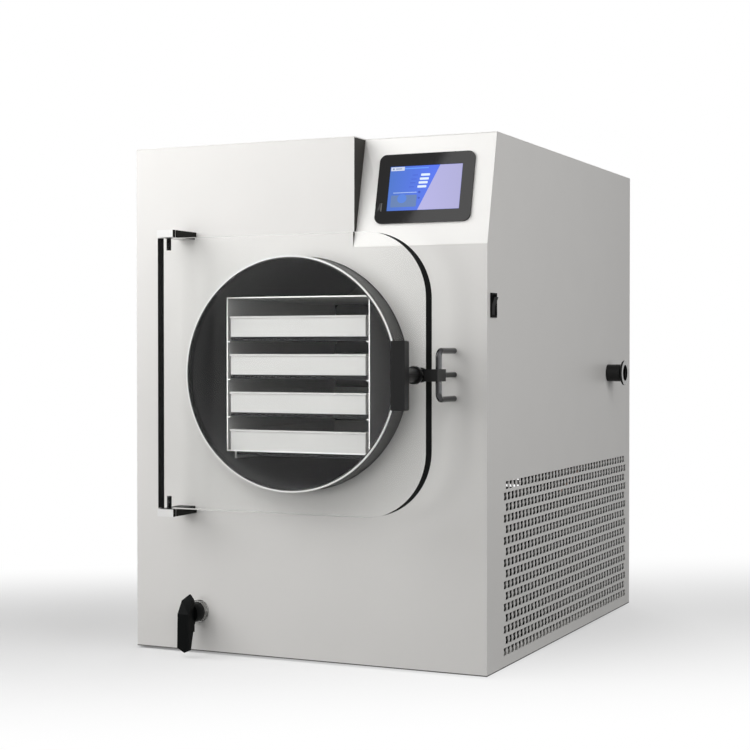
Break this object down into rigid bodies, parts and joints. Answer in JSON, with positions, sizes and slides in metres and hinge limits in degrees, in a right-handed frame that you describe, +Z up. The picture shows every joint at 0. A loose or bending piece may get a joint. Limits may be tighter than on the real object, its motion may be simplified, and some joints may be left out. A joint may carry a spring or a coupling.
{
  "type": "freeze dryer",
  "caption": "Benchtop freeze dryer with a sloped screen console, round vacuum chamber, hinged clear door with a bar latch, tray rack, side vacuum port and front drain valve.",
  "frame": {"origin": "bottom centre of the overall bounding box, on the surface that the feet stand on", "axes": "+X to the right of the door side, along the cabinet's width; +Y from the door towards the back, along its depth; +Z up"},
  "size_m": [0.579, 0.813, 0.733],
  "materials": {
    "cabinet_front": "satin",
    "cabinet_side": "satin",
    "console": "satin",
    "frame_steel": "satin",
    "rubber_black": "matte",
    "screw_steel": "satin",
    "chamber_steel": "satin",
    "gasket": "satin",
    "foam": "matte",
    "copper": "satin",
    "rack_steel": "satin",
    "heater_black": "matte",
    "tray_steel": "satin",
    "acrylic": "polished",
    "hinge_arm": "satin",
    "bush_black": "satin",
    "latch_black": "satin",
    "hoop_chrome": "polished",
    "hose": "satin",
    "valve_black": "gloss",
    "nut_chrome": "polished",
    "port_steel": "satin",
    "compressor_black": "satin",
    "fin_aluminium": "satin",
    "fan_grey": "matte",
    "drier": "satin",
    "box_steel": "satin",
    "bezel": "gloss",
    "display": "polished",
    "switch_black": "gloss"
  },
  "bodies": {
    "cabinet": {"base_pan": "frame_steel", "feet": "rubber_black", "front_panel": "cabinet_front", "console_panel": "console", "top_cover": "cabinet_front", "left_side_panel": "cabinet_side", "right_side_panel": "cabinet_side", "rear_panel": "cabinet_side", "inner_frame": "frame_steel", "rear_screws": "screw_steel", "chamber_shell": "chamber_steel", "door_gasket": "gasket", "chamber_insulation": "foam", "cold_coil": "copper", "chamber_cradle": "frame_steel", "rack_frame": "rack_steel", "heating_shelves": "heater_black", "tray_1": "tray_steel", "tray_2": "tray_steel", "tray_3": "tray_steel", "tray_4": "tray_steel", "temperature_probe": "screw_steel", "hinge_arm_upper": "hinge_arm", "hinge_arm_lower": "hinge_arm", "hinge_pins": "screw_steel", "hinge_screws": "screw_steel", "latch_hoop": "hoop_chrome", "latch_keeper": "latch_black", "hoop_nuts": "nut_chrome", "drain_hose": "hose", "drain_valve_body": "valve_black", "drain_nut": "nut_chrome", "vacuum_port": "port_steel", "vacuum_pipe": "hose", "compressor": "compressor_black", "compressor_mounts": "rubber_black", "condenser_core": "fin_aluminium", "fan_shroud": "fan_grey", "fan_motor": "frame_steel", "refrigerant_pipes": "copper", "filter_drier": "drier", "control_box": "box_steel", "power_supply": "box_steel", "screen_bezel": "bezel", "display_panel": "display", "display_housing": "fan_grey", "switch_housing": "switch_black", "power_inlet": "switch_black"},
    "door": {"door_plate": "acrylic", "hinge_bushes": "bush_black", "latch_bushing": "latch_black"},
    "latch": {"latch_handle": "latch_black", "latch_spindle": "screw_steel", "latch_cam": "latch_black", "latch_nut": "latch_black"},
    "drain_lever": {"drain_lever": "valve_black"},
    "power_switch": {"switch_rocker": "switch_black"},
    "fan": {"fan_blades": "fan_grey"}
  },
  "joints": [
    {"name": "door_hinge", "type": "hinge", "parent": "cabinet", "child": "door", "pos_m": [-0.2005, -0.3378, 0.4055], "axis": [0, 0, -1], "range_deg": [0, 180]},
    {"name": "latch_turn", "type": "hinge", "parent": "door", "child": "latch", "pos_m": [0.1835, -0.3665, 0.4055], "axis": [0, 1, 0], "range_deg": [0, 180]},
    {"name": "drain_lever_turn", "type": "hinge", "parent": "cabinet", "child": "drain_lever", "pos_m": [-0.184, -0.3165, 0.0614], "axis": [0, 1, 0], "range_deg": [0, 90]},
    {"name": "power_switch_rock", "type": "hinge", "parent": "cabinet", "child": "power_switch", "pos_m": [0.2575, -0.265, 0.4985], "axis": [0, -1, 0], "range_deg": [0, 20]},
    {"name": "fan_spin", "type": "hinge", "parent": "cabinet", "child": "fan", "pos_m": [0.164, -0.0465, 0.1215], "axis": [1, 0, 0], "continuous": true}
  ]
}
